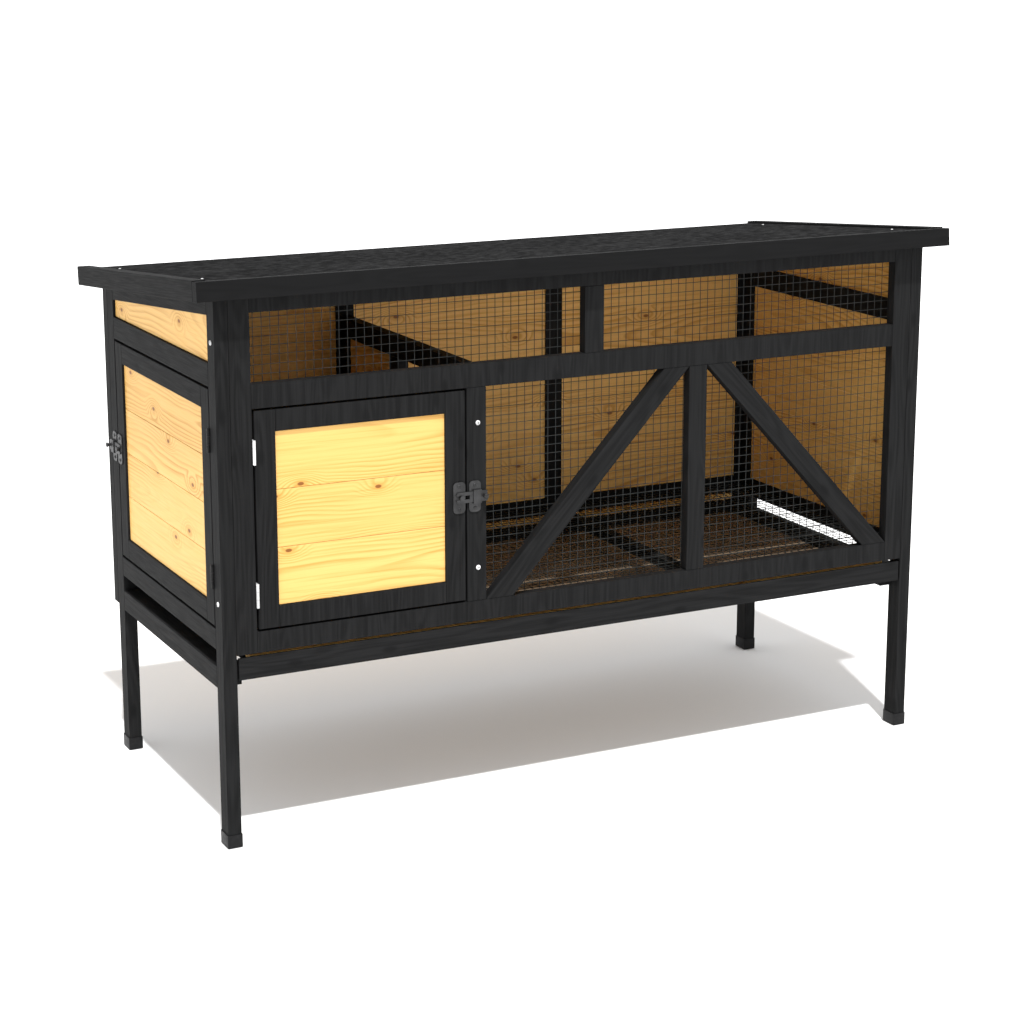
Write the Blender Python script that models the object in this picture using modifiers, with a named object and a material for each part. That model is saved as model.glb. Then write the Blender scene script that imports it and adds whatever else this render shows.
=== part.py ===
"""A wooden rabbit hutch on four legs.

A den with two boarded doors stands beside a mesh-fronted run, under one sloping felted
roof, with a mesh floor over a tray that pulls out to the left.
The frame is X to the right, Y to the back and Z up, with the origin on the ground below
the middle of the roof. All lengths are in metres.
"""

import math

import bmesh
import bpy
from mathutils import Matrix, Vector

MM = 0.001
CLEAR = 0.3 * MM  # gap left between touching pieces

# Carcass
HALF_LENGTH = 579.0 * MM  # over the legs
HALF_DEPTH = 238.0 * MM
LEG_X = 20.0 * MM
LEG_Y = 28.0 * MM
STRIP = 30.5 * MM  # width of the framing strips
FRAME = 17.0 * MM  # thickness of the front and door frames
SIDE = 19.5 * MM  # thickness of the side rails
BOARD = 9.0 * MM
RECESS = 3.5 * MM  # how far the boards lie behind the frame's face
REAR = 21.2 * MM  # thickness of the back panel

# Levels above the ground
LOWER_FRONT = (244.5 * MM, 276.0 * MM)
LOWER_SIDE = (229.3 * MM, 260.8 * MM)
LIP = 5.4 * MM  # the front lower rail's thickness above its rebate
REBATE = 269.7 * MM
TONGUE = 275.6 * MM  # top of the front ledger's tongue in that rebate
FRONT_BOTTOM = (280.5 * MM, 311.0 * MM)
FRONT_MIDDLE = (625.8 * MM, 659.7 * MM)
FRONT_TOP = 757.7 * MM
SIDE_BOTTOM = (285.2 * MM, 315.1 * MM)
SIDE_MIDDLE = (656.0 * MM, 689.0 * MM)
FLOOR = 303.0 * MM  # underside of the floor mesh
REAR_FOOT = 233.0 * MM

# Front layout
MULLION_X = -190.1 * MM
UPRIGHT_X = 177.3 * MM
BRACE_FOOT = 43.0 * MM  # length of a brace's cut foot
DOOR_GAP = 3.0 * MM

# Roof, measured along its own slope
PITCH = math.radians(5.38)
ROOF_HALF = 610.0 * MM
ROOF_LENGTH = 547.0 * MM
ROOF_Y = 10.5 * MM
ROOF_Z = 783.7 * MM
FASCIA = (19.5 * MM, 28.5 * MM)  # thickness and height of the side boards
FASCIA_FRONT = 17.0 * MM
ROOF_DECK = (5.5 * MM, 14.5 * MM)  # depths below the side boards' top
FELT = (3.5 * MM, 5.2 * MM)

# Wire mesh: one flat bar stands for eight real wires
CELL = 101.6 * MM
WIRE = (5.2 * MM, 1.2 * MM)

# Tray
TRAY_X = (-538.0 * MM, 521.0 * MM)
TRAY_HALF_Y = 204.0 * MM
TRAY_Z = (262.2 * MM, 283.5 * MM)
TRAY_WALL = 10.0 * MM
TRAY_BASE = 3.0 * MM

# Hinges and latches
KNUCKLE = 2.1 * MM
PIN = 0.8 * MM
BORE = 1.1 * MM
HINGE_HALF = 17.0 * MM
LATCH_Z = (467.5 * MM, 487.5 * MM)  # front, side
LATCH_HALF = 23.0 * MM
LATCH_PLATE = (-1.7 * MM, -CLEAR)  # depths of a plate's faces from the wood
STUD_X = -8.9 * MM
HINGE_Z = ((363.0 * MM, 565.5 * MM), (390.0 * MM, 582.0 * MM))

LEG_CENTRE_Y = -(ROOF_Y - FASCIA[1] * math.sin(PITCH) / 2)


def material(name, colour, roughness, metallic=0.0):
    made = bpy.data.materials.new(name)
    made.use_nodes = True
    shader = made.node_tree.nodes["Principled BSDF"]
    shader.inputs["Base Color"].default_value = (*colour, 1.0)
    shader.inputs["Roughness"].default_value = roughness
    shader.inputs["Metallic"].default_value = metallic
    made.diffuse_color = (*colour, 1.0)
    return made


def clear_scene():
    for obj in list(bpy.data.objects):
        bpy.data.objects.remove(obj, do_unlink=True)


def collection(name):
    made = bpy.data.collections.new(name)
    bpy.context.scene.collection.children.link(made)
    return made


def empty(name, location, parent=None, matrix=None):
    made = bpy.data.objects.new(name, None)
    made.empty_display_size = 0.03
    PARTS.objects.link(made)
    made.parent = parent
    if matrix is not None:
        made.rotation_euler = matrix.to_euler()
    made.location = location
    return made


def add(name, data, finish, parent, location=(0, 0, 0)):
    obj = bpy.data.objects.new(name, data)
    data.materials.append(finish)
    PARTS.objects.link(obj)
    obj.parent = parent
    obj.location = location
    return obj


def mesh_from(name, work):
    mesh = bpy.data.meshes.new(name)
    work.to_mesh(mesh)
    work.free()
    return mesh


def block_mesh(name, size):
    work = bmesh.new()
    bmesh.ops.create_cube(work, size=1.0)
    bmesh.ops.scale(work, vec=size, verts=work.verts)
    return mesh_from(name, work)


def block(name, x, y, z, finish, parent, edge=0.8 * MM):
    """A straight piece between three pairs of limits, with its long edges eased."""
    low, high = Vector((x[0], y[0], z[0])), Vector((x[1], y[1], z[1]))
    mesh = block_mesh(name, high - low)
    obj = add(name, mesh, finish, parent, (low + high) / 2)
    if edge:
        bevel = obj.modifiers.new("eased edges", "BEVEL")
        bevel.width = edge
        bevel.segments = 1
    return obj


def cup(name, x, y, z, wall, base, finish, parent):
    """A tray or a cap: a block with a pocket sunk from the top."""
    low, high = Vector((x[0], y[0], z[0])), Vector((x[1], y[1], z[1]))
    work = bmesh.new()
    bmesh.ops.create_cube(work, size=1.0)
    bmesh.ops.scale(work, vec=high - low, verts=work.verts)
    work.faces.ensure_lookup_table()
    top = [face for face in work.faces if face.normal.z > 0.9]
    bmesh.ops.inset_individual(work, faces=top, thickness=wall, use_even_offset=True)
    sunk = bmesh.ops.extrude_discrete_faces(work, faces=top)["faces"]
    depth = high.z - low.z - base
    bmesh.ops.translate(work, vec=(0, 0, -depth), verts=sunk[0].verts)
    return add(name, mesh_from(name, work), finish, parent, (low + high) / 2)


UPRIGHT_XZ = (math.pi / 2, 0, 0)
UPRIGHT_YZ = (math.pi / 2, 0, math.pi / 2)
LEVEL = (0, 0, 0)


def outline_curve(name, rings, thickness):
    """A flat outline with holes, extruded to a thickness about its own plane."""
    curve = bpy.data.curves.new(name, "CURVE")
    curve.dimensions = "2D"
    curve.fill_mode = "BOTH"
    curve.extrude = thickness / 2
    for ring in rings:
        spline = curve.splines.new("POLY")
        spline.points.add(len(ring) - 1)
        for point, (u, v) in zip(spline.points, ring):
            point.co = (u, v, 0, 1)
        spline.use_cyclic_u = True
    return curve


def outline(name, rings, plane, depth, finish, parent):
    """An extruded outline standing in a plane, between two depths across it."""
    curve = outline_curve(name, rings, depth[1] - depth[0])
    middle = (depth[0] + depth[1]) / 2
    offset = {UPRIGHT_XZ: (0, middle, 0), UPRIGHT_YZ: (middle, 0, 0), LEVEL: (0, 0, middle)}
    obj = add(name, curve, finish, parent, offset[plane])
    obj.rotation_euler = plane
    return obj


def to_mesh(obj):
    """Turns an extruded outline into a welded mesh, so that it can be cut and joined."""
    bpy.context.view_layer.update()
    graph = bpy.context.evaluated_depsgraph_get()
    mesh = bpy.data.meshes.new_from_object(obj.evaluated_get(graph))
    work = bmesh.new()
    work.from_mesh(mesh)
    bmesh.ops.remove_doubles(work, verts=work.verts, dist=0.001 * MM)
    bmesh.ops.recalc_face_normals(work, faces=work.faces)
    work.to_mesh(mesh)
    work.free()
    name, local = obj.name, obj.matrix_local.copy()
    made = bpy.data.objects.new(name + "_solid", mesh)
    PARTS.objects.link(made)
    made.parent = obj.parent
    made.matrix_local = local
    bpy.data.objects.remove(obj, do_unlink=True)
    made.name = name
    return made


def rectangle(u, v):
    return [(u[0], v[0]), (u[1], v[0]), (u[1], v[1]), (u[0], v[1])]


def rounded_bar(u, v, radius, steps=5):
    """A rectangle whose two ends along v are rounded."""
    corners = [(u[1] - radius, v[0] + radius, -90), (u[1] - radius, v[1] - radius, 0),
               (u[0] + radius, v[1] - radius, 90), (u[0] + radius, v[0] + radius, 180)]
    ring = []
    for cu, cv, start in corners:
        for step in range(steps + 1):
            angle = math.radians(start + 90 * step / steps)
            ring.append((cu + radius * math.cos(angle), cv + radius * math.sin(angle)))
    return ring


def cylinder(name, radius, along, start, end, centre=(0, 0), sides=20):
    """A cylinder mesh along local Y or Z between two positions."""
    work = bmesh.new()
    bmesh.ops.create_cone(work, cap_ends=True, segments=sides, radius1=radius,
                          radius2=radius, depth=abs(end - start))
    if along == "Y":
        bmesh.ops.rotate(work, verts=work.verts,
                         matrix=Matrix.Rotation(math.pi / 2, 3, "X"))
        shift = (centre[0], (start + end) / 2, centre[1])
    else:
        shift = (centre[0], centre[1], (start + end) / 2)
    bmesh.ops.translate(work, vec=shift, verts=work.verts)
    return mesh_from(name, work)


def helper(name, mesh, parent):
    """A shape that only cuts or joins, and isn't a part itself."""
    obj = bpy.data.objects.new(name, mesh)
    CUTTERS.objects.link(obj)
    obj.parent = parent
    obj.hide_render = True
    obj.display_type = "WIRE"
    return obj


def boolean(obj, other, operation):
    step = obj.modifiers.new(operation.lower(), "BOOLEAN")
    step.operation = operation
    step.object = other


def roof_underside(y):
    drop = ROOF_DECK[1] / math.cos(PITCH)
    return ROOF_Z - (y - ROOF_Y) * math.tan(PITCH) - drop


def board_profile(depth, height, count):
    """The section of edge-joined boards: a strip with a V groove at each seam."""
    groove = 0.9 * MM
    seams = [height[0] + (height[1] - height[0]) * n / count for n in range(1, count)]
    outer = [(depth[0], height[0])]
    for seam in seams:
        outer += [(depth[0], seam - groove), (depth[0] + groove, seam),
                  (depth[0], seam + groove)]
    outer += [(depth[0], height[1]), (depth[1], height[1])]
    for seam in reversed(seams):
        outer += [(depth[1], seam + groove), (depth[1] - groove, seam),
                  (depth[1], seam - groove)]
    return outer + [(depth[1], height[0])]


def boards(name, along, width, depth, height, count, finish, parent):
    """Horizontal boards joined edge to edge, running along X or Y."""
    ring = board_profile(depth, height, count)
    plane = UPRIGHT_YZ if along == "X" else UPRIGHT_XZ
    return outline(name, [ring], plane, width, finish, parent)


def lattice(name, u, v, plane, depth, finish, parent):
    """The stand-in for welded mesh: a flat grid of bars with an edge bar all round."""
    across = max(1, round((u[1] - u[0]) / CELL))
    up = max(1, round((v[1] - v[0]) / CELL))
    step_u, step_v = (u[1] - u[0]) / across, (v[1] - v[0]) / up
    half = WIRE[0] / 2
    rings = [rectangle(u, v)]
    for i in range(across):
        for j in range(up):
            left = u[0] + i * step_u + (half * 2 if i == 0 else half)
            right = u[0] + (i + 1) * step_u - (half * 2 if i == across - 1 else half)
            low = v[0] + j * step_v + (half * 2 if j == 0 else half)
            high = v[0] + (j + 1) * step_v - (half * 2 if j == up - 1 else half)
            rings.append(rectangle((left, right), (low, high)))
    return outline(name, rings, plane, depth, finish, parent)


def make_legs(base):
    for side, sx in (("left", -1), ("right", 1)):
        x = sorted((sx * HALF_LENGTH, sx * (HALF_LENGTH - LEG_X)))
        for end, sy in (("front", -1), ("rear", 1)):
            y = sorted((sy * HALF_DEPTH, sy * (HALF_DEPTH - LEG_Y)))
            top = roof_underside(y[1]) - 0.4 * MM
            block(f"leg_{end}_{side}", x, y, (1.2 * MM, top), BLACK, base)
            grow = 1.2 * MM
            cup(f"foot_cap_{end}_{side}", (x[0] - grow, x[1] + grow),
                (y[0] - grow, y[1] + grow), (0.0, 19.5 * MM), 0.9 * MM, 0.9 * MM,
                PLASTIC, base)


def make_front(base):
    face = -HALF_DEPTH
    depth = (face, face + FRAME)
    inner = HALF_LENGTH - LEG_X - CLEAR
    side = inner - STRIP
    top = roof_underside(depth[1]) - 0.4 * MM
    muntin = 15.3 * MM
    rings = [rectangle((-inner, inner), (FRONT_BOTTOM[0], top)),
             rectangle((-side, side), (FRONT_BOTTOM[1], FRONT_MIDDLE[0])),
             rectangle((-side, -muntin), (FRONT_MIDDLE[1], FRONT_TOP)),
             rectangle((muntin, side), (FRONT_MIDDLE[1], FRONT_TOP))]
    outline("front_frame", rings, UPRIGHT_XZ, depth, BLACK, base)
    span = (FRONT_BOTTOM[1] + CLEAR, FRONT_MIDDLE[0] - CLEAR)
    for name, x in (("front_mullion", MULLION_X), ("front_upright", UPRIGHT_X)):
        block(name, (x - STRIP / 2, x + STRIP / 2), depth, span, BLACK, base)
    left = MULLION_X + STRIP / 2 + CLEAR
    meet = (UPRIGHT_X - STRIP / 2 - CLEAR, UPRIGHT_X + STRIP / 2 + CLEAR)
    right = side - CLEAR
    rings = {"front_brace_left": (left, left + BRACE_FOOT, meet[0], meet[0] - BRACE_FOOT),
             "front_brace_right": (right - BRACE_FOOT, right, meet[1] + BRACE_FOOT, meet[1])}
    for name, (a, b, c, d) in rings.items():
        ring = [(a, span[0]), (b, span[0]), (c, span[1]), (d, span[1])]
        outline(name, [ring], UPRIGHT_XZ, depth, BLACK, base)


def make_front_lower_rail(base):
    """The rebated lower rail with the ledge that carries the tray, as one piece."""
    end = HALF_LENGTH - LEG_X - 2.7 * MM
    face = -HALF_DEPTH
    step, back = face + LIP, face + FRAME
    section = [(face, LOWER_FRONT[0]), (back, LOWER_FRONT[0]), (back, REBATE),
               (step, REBATE), (step, LOWER_FRONT[1]), (face, LOWER_FRONT[1])]
    rail = to_mesh(outline("front_lower_rail", [section], UPRIGHT_YZ, (-end, end), BLACK,
                           base))
    low, high = LOWER_FRONT[0], TRAY_Z[0] - CLEAR
    ledge = block_mesh("ledge", (1084 * MM, 26 * MM, high - low))
    other = helper("ledge", ledge, base)
    other.location = (0, face + FRAME + 12 * MM, (low + high) / 2)
    boolean(rail, other, "UNION")


def make_meshes(base):
    y = -HALF_DEPTH + FRAME + CLEAR
    depth = (y, y + WIRE[1])
    reach = 543.0 * MM
    lattice("mesh_front_upper", (-reach, reach), (643.5 * MM, 774.0 * MM), UPRIGHT_XZ,
            depth, GALVANISED, base)
    lattice("mesh_front_lower", (MULLION_X - 3 * MM, reach), (296.0 * MM, 642.0 * MM),
            UPRIGHT_XZ, depth, GALVANISED, base)
    lattice("mesh_floor", (-558.8 * MM, 558.8 * MM), (-219.0 * MM, 237.7 * MM), LEVEL,
            (FLOOR, FLOOR + WIRE[1]), GALVANISED, base)


def make_floor_supports(base):
    """Two pine ledgers and the bearer. The front ledger's tongue lies in the rebate."""
    low, high = REBATE + CLEAR, 287.0 * MM
    front = -HALF_DEPTH + FRAME + CLEAR
    ledger = block("floor_ledger_front", (-537 * MM, 537 * MM), (front, front + 10 * MM),
                   (low, high), PINE, base, edge=0)
    start, end = -HALF_DEPTH + LIP + CLEAR, front + 1 * MM
    tongue = block_mesh("tongue", (TRAY_X[1] + 537 * MM, end - start, TONGUE - low))
    other = helper("tongue", tongue, base)
    other.location = ((TRAY_X[1] - 537 * MM) / 2, (start + end) / 2, (low + TONGUE) / 2)
    boolean(ledger, other, "UNION")
    rear = HALF_DEPTH - 0.1 * MM
    block("floor_ledger_rear", (-537 * MM, 537 * MM), (rear - 10 * MM, rear),
          (low, high), PINE, base)
    block("floor_bearer", (178 * MM, 196 * MM), (-219 * MM, rear),
          (high + CLEAR, FLOOR - CLEAR), BLACK, base)


def sloped_strip(name, x, y, below, above, finish, parent):
    """A side piece whose upper edge, and maybe lower edge, follows the roof."""
    ring = [(y[0], below(y[0])), (y[1], below(y[1])), (y[1], above(y[1])),
            (y[0], above(y[0]))]
    return outline(name, [ring], UPRIGHT_YZ, x, finish, parent)


def top_rail_foot(y):
    return roof_underside(y) - 35.5 * MM


def make_sides(base):
    y = (-HALF_DEPTH + LEG_Y + CLEAR, HALF_DEPTH - LEG_Y - CLEAR)
    for side, sx in (("left", -1), ("right", 1)):
        x = sorted((sx * HALF_LENGTH, sx * (HALF_LENGTH - SIDE)))
        panel = sorted((sx * (HALF_LENGTH - 4 * MM), sx * (HALF_LENGTH - 4 * MM - BOARD)))
        lower = sorted((sx * HALF_LENGTH, sx * 542.5 * MM))
        sloped_strip(f"{side}_top_rail", x, y, top_rail_foot,
                     lambda at: roof_underside(at) - 0.4 * MM, BLACK, base)
        sloped_strip(f"{side}_gable_board", panel, y, lambda at: SIDE_MIDDLE[1] + CLEAR,
                     lambda at: top_rail_foot(at) - CLEAR, PINE, base)
        block(f"{side}_middle_rail", x, y, SIDE_MIDDLE, BLACK, base)
        block(f"{side}_bottom_rail", x, y, SIDE_BOTTOM, BLACK, base)
        rail = block(f"{side}_lower_rail", lower, y, LOWER_SIDE, BLACK, base)
    # The right rail also reaches in to the end of the tray.
    reach = (TRAY_X[1] + 1.5 * MM, 550 * MM)
    ledge = block_mesh("end_ledge", (reach[1] - reach[0], 391 * MM,
                                     LOWER_SIDE[1] - LOWER_SIDE[0]))
    other = helper("end_ledge", ledge, base)
    other.location = (sum(reach) / 2, 0, sum(LOWER_SIDE) / 2)
    boolean(rail, other, "UNION")
    x = (HALF_LENGTH - 4 * MM - 12 * MM, HALF_LENGTH - 4 * MM)
    boards("right_boards", "Y", y, x, (SIDE_BOTTOM[1] + CLEAR, SIDE_MIDDLE[0] - CLEAR), 5,
           PINE, base)


def make_rear(base):
    """The back: a frame, two laths inside it, and boards let in behind the laths."""
    face = HALF_DEPTH + CLEAR
    outer = HALF_LENGTH
    inner = outer - STRIP
    top = roof_underside(face + REAR) - 0.5 * MM
    head = top - STRIP
    sill = 315.0 * MM
    rings = [rectangle((-outer, outer), (REAR_FOOT, top)),
             rectangle((-inner, inner), (sill, head))]
    frame = outline("rear_frame", rings, UPRIGHT_XZ, (face, face + REAR), BLACK, base)
    frame = to_mesh(frame)
    lath = 3.7 * MM
    for n, x in enumerate((MULLION_X, 186.5 * MM)):
        mesh = block_mesh("lath", (STRIP, lath, head - sill + 2 * MM))
        other = helper(f"lath_{n}", mesh, base)
        other.location = (x, face + lath / 2, (head + sill) / 2)
        boolean(frame, other, "UNION")
    boards("rear_boards", "X", (-inner + CLEAR, inner - CLEAR),
           (face + lath + CLEAR, face + lath + CLEAR + BOARD),
           (sill + CLEAR, head - CLEAR), 5, PINE, base)
    block("rear_lower_rail", (-542 * MM, 542 * MM), (196 * MM, HALF_DEPTH - 0.1 * MM),
          (LOWER_FRONT[0], TRAY_Z[0] - CLEAR), BLACK, base)


def make_partition(base):
    """The wall between den and run, boarded at the back, with a doorway at the front."""
    thick = 18.0 * MM
    x = (MULLION_X - thick / 2, MULLION_X + thick / 2)
    low, high = FLOOR + WIRE[1] + CLEAR, 657.0 * MM
    y = (-218.8 * MM, HALF_DEPTH - 0.1 * MM)
    post = 15.0 * MM  # front edge of the post between doorway and boards
    sill = 15.0 * MM
    door = rectangle((y[0] + STRIP, post), (low + sill, high - STRIP))
    bay = rectangle((post + STRIP, y[1] - STRIP), (low + sill, high - STRIP))
    outline("partition_frame", [rectangle(y, (low, high)), door, bay], UPRIGHT_YZ, x,
            BLACK, base)
    boards("partition_boards", "Y", (bay[0][0] + CLEAR, bay[1][0] - CLEAR),
           (MULLION_X - BOARD / 2, MULLION_X + BOARD / 2),
           (bay[0][1] + CLEAR, bay[2][1] - CLEAR), 4, PINE, base)


def make_roof(base):
    roof = empty("roof", (0, ROOF_Y, ROOF_Z), base)
    roof.rotation_euler = (-PITCH, 0, 0)
    half = ROOF_LENGTH / 2
    inside = ROOF_HALF - FASCIA[0] - CLEAR
    behind = -half + FASCIA_FRONT + CLEAR
    block("fascia_front", (-ROOF_HALF, ROOF_HALF), (-half, -half + FASCIA_FRONT),
          (-FASCIA[1], -1.5 * MM), BLACK, roof)
    for side, sx in (("left", -1), ("right", 1)):
        x = sorted((sx * ROOF_HALF, sx * (ROOF_HALF - FASCIA[0])))
        block(f"fascia_{side}", x, (behind, half), (-FASCIA[1], 0.0), BLACK, roof)
    block("roof_deck", (-inside, inside), (behind, half - CLEAR),
          (-ROOF_DECK[1], -ROOF_DECK[0]), DECK, roof)
    block("roof_felt", (-inside, inside), (behind, half - CLEAR),
          (-FELT[1], -FELT[0]), BITUMEN, roof, edge=0)


def make_tray(base):
    cup("tray", TRAY_X, (-TRAY_HALF_Y, TRAY_HALF_Y), TRAY_Z, TRAY_WALL, TRAY_BASE,
        BLACK, base)


def hinge_leaf(name, hinge, way, centre_knuckle, finish):
    """One leaf. Locally X runs along the door, Y goes inward and Z along the pin."""
    half, split, space = HINGE_HALF, 5.5 * MM, 0.5 * MM
    root, edge, tail = 1.2 * MM, 2.5 * MM, 15.0 * MM
    if centre_knuckle:
        spans = [(-split, split)]
        ring = [(edge, -half), (tail, -half), (tail, half), (edge, half), (edge, split),
                (root, split), (root, -split), (edge, -split)]
    else:
        spans = [(split + space, half), (-half, -split - space)]
        inside = split + space
        ring = [(root, -half), (tail, -half), (tail, half), (root, half), (root, inside),
                (edge, inside), (edge, -inside), (root, -inside)]
    plate = sorted((way * 0.45 * MM, way * 1.2 * MM))
    leaf = to_mesh(outline(name, [ring], UPRIGHT_YZ, plate, finish, hinge))
    for n, (start, end) in enumerate(spans):
        mesh = cylinder("knuckle", KNUCKLE, "Z", start, end)
        boolean(leaf, helper(f"{name}_knuckle_{n}", mesh, hinge), "UNION")
    if centre_knuckle:
        mesh = cylinder("pin", PIN, "Z", -half, half, sides=16)
        boolean(leaf, helper(f"{name}_pin", mesh, hinge), "UNION")
    else:
        mesh = cylinder("bore", BORE, "Z", -half - MM, half + MM, sides=16)
        boolean(leaf, helper(f"{name}_bore", mesh, hinge), "DIFFERENCE")
    return leaf


def make_hinges(door_name, heights, axis_point, turn, base, door, finish):
    """Two butt hinges on one axis: the fixed leaves on the frame, the others on the door."""
    for place, height in zip(("lower", "upper"), heights):
        name = f"{door_name}_hinge_{place}"
        fixed = empty(name, (axis_point[0], axis_point[1], height), base, turn)
        moving = empty(name + "_swing", (0, 0, height), door, turn)
        hinge_leaf(name + "_fixed", fixed, -1, True, finish)
        hinge_leaf(name + "_leaf", moving, 1, False, finish)


def slotted_bar(tip, tail, wide, slot, throat, steps=8):
    """The bolt's outline: a bar with chamfered corners at its tail and a fork at its tip."""
    chamfer = 2 * MM
    ring = [(tip, -wide), (tail - chamfer, -wide), (tail, -wide + chamfer),
            (tail, wide - chamfer), (tail - chamfer, wide), (tip, wide), (tip, slot)]
    for step in range(steps + 1):
        angle = math.radians(90 - 180 * step / steps)
        ring.append((throat - slot * (1 - math.cos(angle)), slot * math.sin(angle)))
    return ring + [(tip, -slot)]


def latch_keep(name, door_side, prefix):
    """The plate on the door, with the headed stud that the fork goes round."""
    ring = rounded_bar((-21.1 * MM, -2.1 * MM), (-LATCH_HALF, LATCH_HALF), 6 * MM)
    keep = to_mesh(outline(name, [ring], UPRIGHT_XZ, LATCH_PLATE, ZINC, door_side))
    for n, (radius, near, far) in enumerate(((2.4, 1.5, 5.3), (3.6, 5.0, 6.8))):
        mesh = cylinder("stud", radius * MM, "Y", -near * MM, -far * MM, (STUD_X, 0))
        boolean(keep, helper(f"{prefix}_stud_{n}", mesh, door_side), "UNION")


def latch_guide(name, frame_side, prefix):
    """The plate on the frame, with the square bridge that the bolt runs through."""
    ring = rounded_bar((3.9 * MM, 22.4 * MM), (-LATCH_HALF, LATCH_HALF), 6 * MM)
    guide = to_mesh(outline(name, [ring], UPRIGHT_XZ, LATCH_PLATE, ZINC, frame_side))
    over = helper(f"{prefix}_bridge", block_mesh("bridge", (13 * MM, 3.8 * MM, 20 * MM)),
                  frame_side)
    over.location = (15.9 * MM, -3.4 * MM, 0)
    boolean(guide, over, "UNION")
    tunnel = block_mesh("tunnel", (15 * MM, 2.2 * MM, 16.8 * MM))
    through = helper(f"{prefix}_tunnel", tunnel, frame_side)
    through.location = (15.9 * MM, -2.8 * MM, 0)
    boolean(guide, through, "DIFFERENCE")


def latch_bolt(name, frame_side, prefix):
    """The sliding bolt with its pull knob. Its fork stops short of the door's edge."""
    ring = slotted_bar(0.0, 32.4 * MM, 8.0 * MM, 2.9 * MM, 4.5 * MM)
    bolt = to_mesh(outline(name, [ring], UPRIGHT_XZ, (-3.6 * MM, -2.0 * MM), ZINC,
                           frame_side))
    for n, (radius, near, far) in enumerate(((2.6, 3.0, 8.2), (3.8, 8.0, 11.0))):
        mesh = cylinder("knob", radius * MM, "Y", -near * MM, -far * MM, (27.6 * MM, 0))
        boolean(bolt, helper(f"{prefix}_knob_{n}", mesh, frame_side), "UNION")


def make_latch(prefix, origin, turn, base, door, door_origin):
    """A slide latch across the gap at the door's free edge.

    Locally X is the way the bolt draws back, Y goes inward and Z along the plates.
    """
    frame_side = empty(f"{prefix}_latch", origin, base, turn)
    local = tuple(a - b for a, b in zip(origin, door_origin))
    door_side = empty(f"{prefix}_latch_keep", local, door, turn)
    latch_keep(f"{prefix}_latch_stud", door_side, prefix)
    latch_guide(f"{prefix}_latch_guide", frame_side, prefix)
    latch_bolt(f"{prefix}_latch_bolt", frame_side, prefix)


def door_frame(name, along, span, height, depth, count, door, origin):
    """A framed, boarded door leaf, given in the carcass frame and hung on its empty."""
    u0 = origin[0] if along == "X" else origin[1]
    v0 = origin[1] if along == "X" else origin[0]
    u = (span[0] - u0, span[1] - u0)
    v = tuple(at - v0 for at in depth)
    hole = rectangle((u[0] + STRIP, u[1] - STRIP), (height[0] + STRIP, height[1] - STRIP))
    plane = UPRIGHT_XZ if along == "X" else UPRIGHT_YZ
    outline(f"{name}_frame", [rectangle(u, height), hole], plane, v, BLACK, door)
    board = (v[0] + RECESS, v[0] + RECESS + BOARD)
    boards(f"{name}_boards", along, (hole[0][0] + CLEAR, hole[1][0] - CLEAR), board,
           (hole[0][1] + CLEAR, hole[2][1] - CLEAR), count, PINE, door)


def make_front_door(base):
    left = -HALF_LENGTH + LEG_X + CLEAR + STRIP + DOOR_GAP
    right = MULLION_X - STRIP / 2 - DOOR_GAP
    face = -HALF_DEPTH
    axis_at = (left - DOOR_GAP / 2, face - 1.9 * MM, 0)
    door = empty("front_door", axis_at, base)
    door_frame("front_door", "X", (left, right), (314.2 * MM, 622.6 * MM),
               (face, face + FRAME), 3, door, axis_at)
    turn = Matrix.Identity(3)
    make_hinges("front_door", HINGE_Z[0], axis_at, turn, base, door, WHITE)
    make_latch("front", (right + DOOR_GAP / 2, face, LATCH_Z[0]), turn, base, door,
               axis_at)


def make_side_door(base):
    front = -HALF_DEPTH + LEG_Y + DOOR_GAP
    rear = HALF_DEPTH - LEG_Y - DOOR_GAP
    face = -HALF_LENGTH
    axis_at = (face - 1.9 * MM, front - DOOR_GAP / 2, 0)
    door = empty("side_door", axis_at, base)
    door_frame("side_door", "Y", (front, rear), (318.7 * MM, 652.6 * MM),
               (face, face + FRAME), 4, door, axis_at)
    turn = Matrix(((0, 1, 0), (1, 0, 0), (0, 0, -1)))
    make_hinges("side_door", HINGE_Z[1], axis_at, turn, base, door, BLACK_METAL)
    make_latch("side", (face, rear + DOOR_GAP / 2, LATCH_Z[1]), turn, base, door,
               axis_at)


def main():
    base = empty("hutch", (0, LEG_CENTRE_Y, 0))
    make_legs(base)
    make_front(base)
    make_front_lower_rail(base)
    make_meshes(base)
    make_floor_supports(base)
    make_sides(base)
    make_rear(base)
    make_partition(base)
    make_roof(base)
    make_tray(base)
    make_front_door(base)
    make_side_door(base)
    bpy.context.view_layer.update()


clear_scene()
PARTS = collection("rabbit_hutch")
CUTTERS = collection("cutters")
BLACK = material("black_stained_wood", (0.022, 0.022, 0.023), 0.62)
PINE = material("pine", (0.80, 0.55, 0.22), 0.55)
DECK = material("deck_board", (0.45, 0.30, 0.15), 0.7)
BITUMEN = material("bitumen_felt", (0.035, 0.035, 0.037), 0.95)
PLASTIC = material("black_plastic", (0.015, 0.015, 0.016), 0.4)
GALVANISED = material("dark_wire", (0.09, 0.095, 0.10), 0.4, 0.9)
ZINC = material("grey_zinc", (0.16, 0.16, 0.17), 0.4, 0.9)
WHITE = material("white_zinc", (0.85, 0.85, 0.85), 0.35, 0.3)
BLACK_METAL = material("black_painted_metal", (0.02, 0.02, 0.02), 0.45, 0.3)
main()
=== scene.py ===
"""The finished look of a rabbit hutch, built round its solid model.

Timber pieces carry a vector attribute, "lay": the place along the grain, across it and
through the piece, from a different starting point for each piece of wood. The wood
materials read it, so the grain follows each strip and board.
"""

import math
import random

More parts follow.
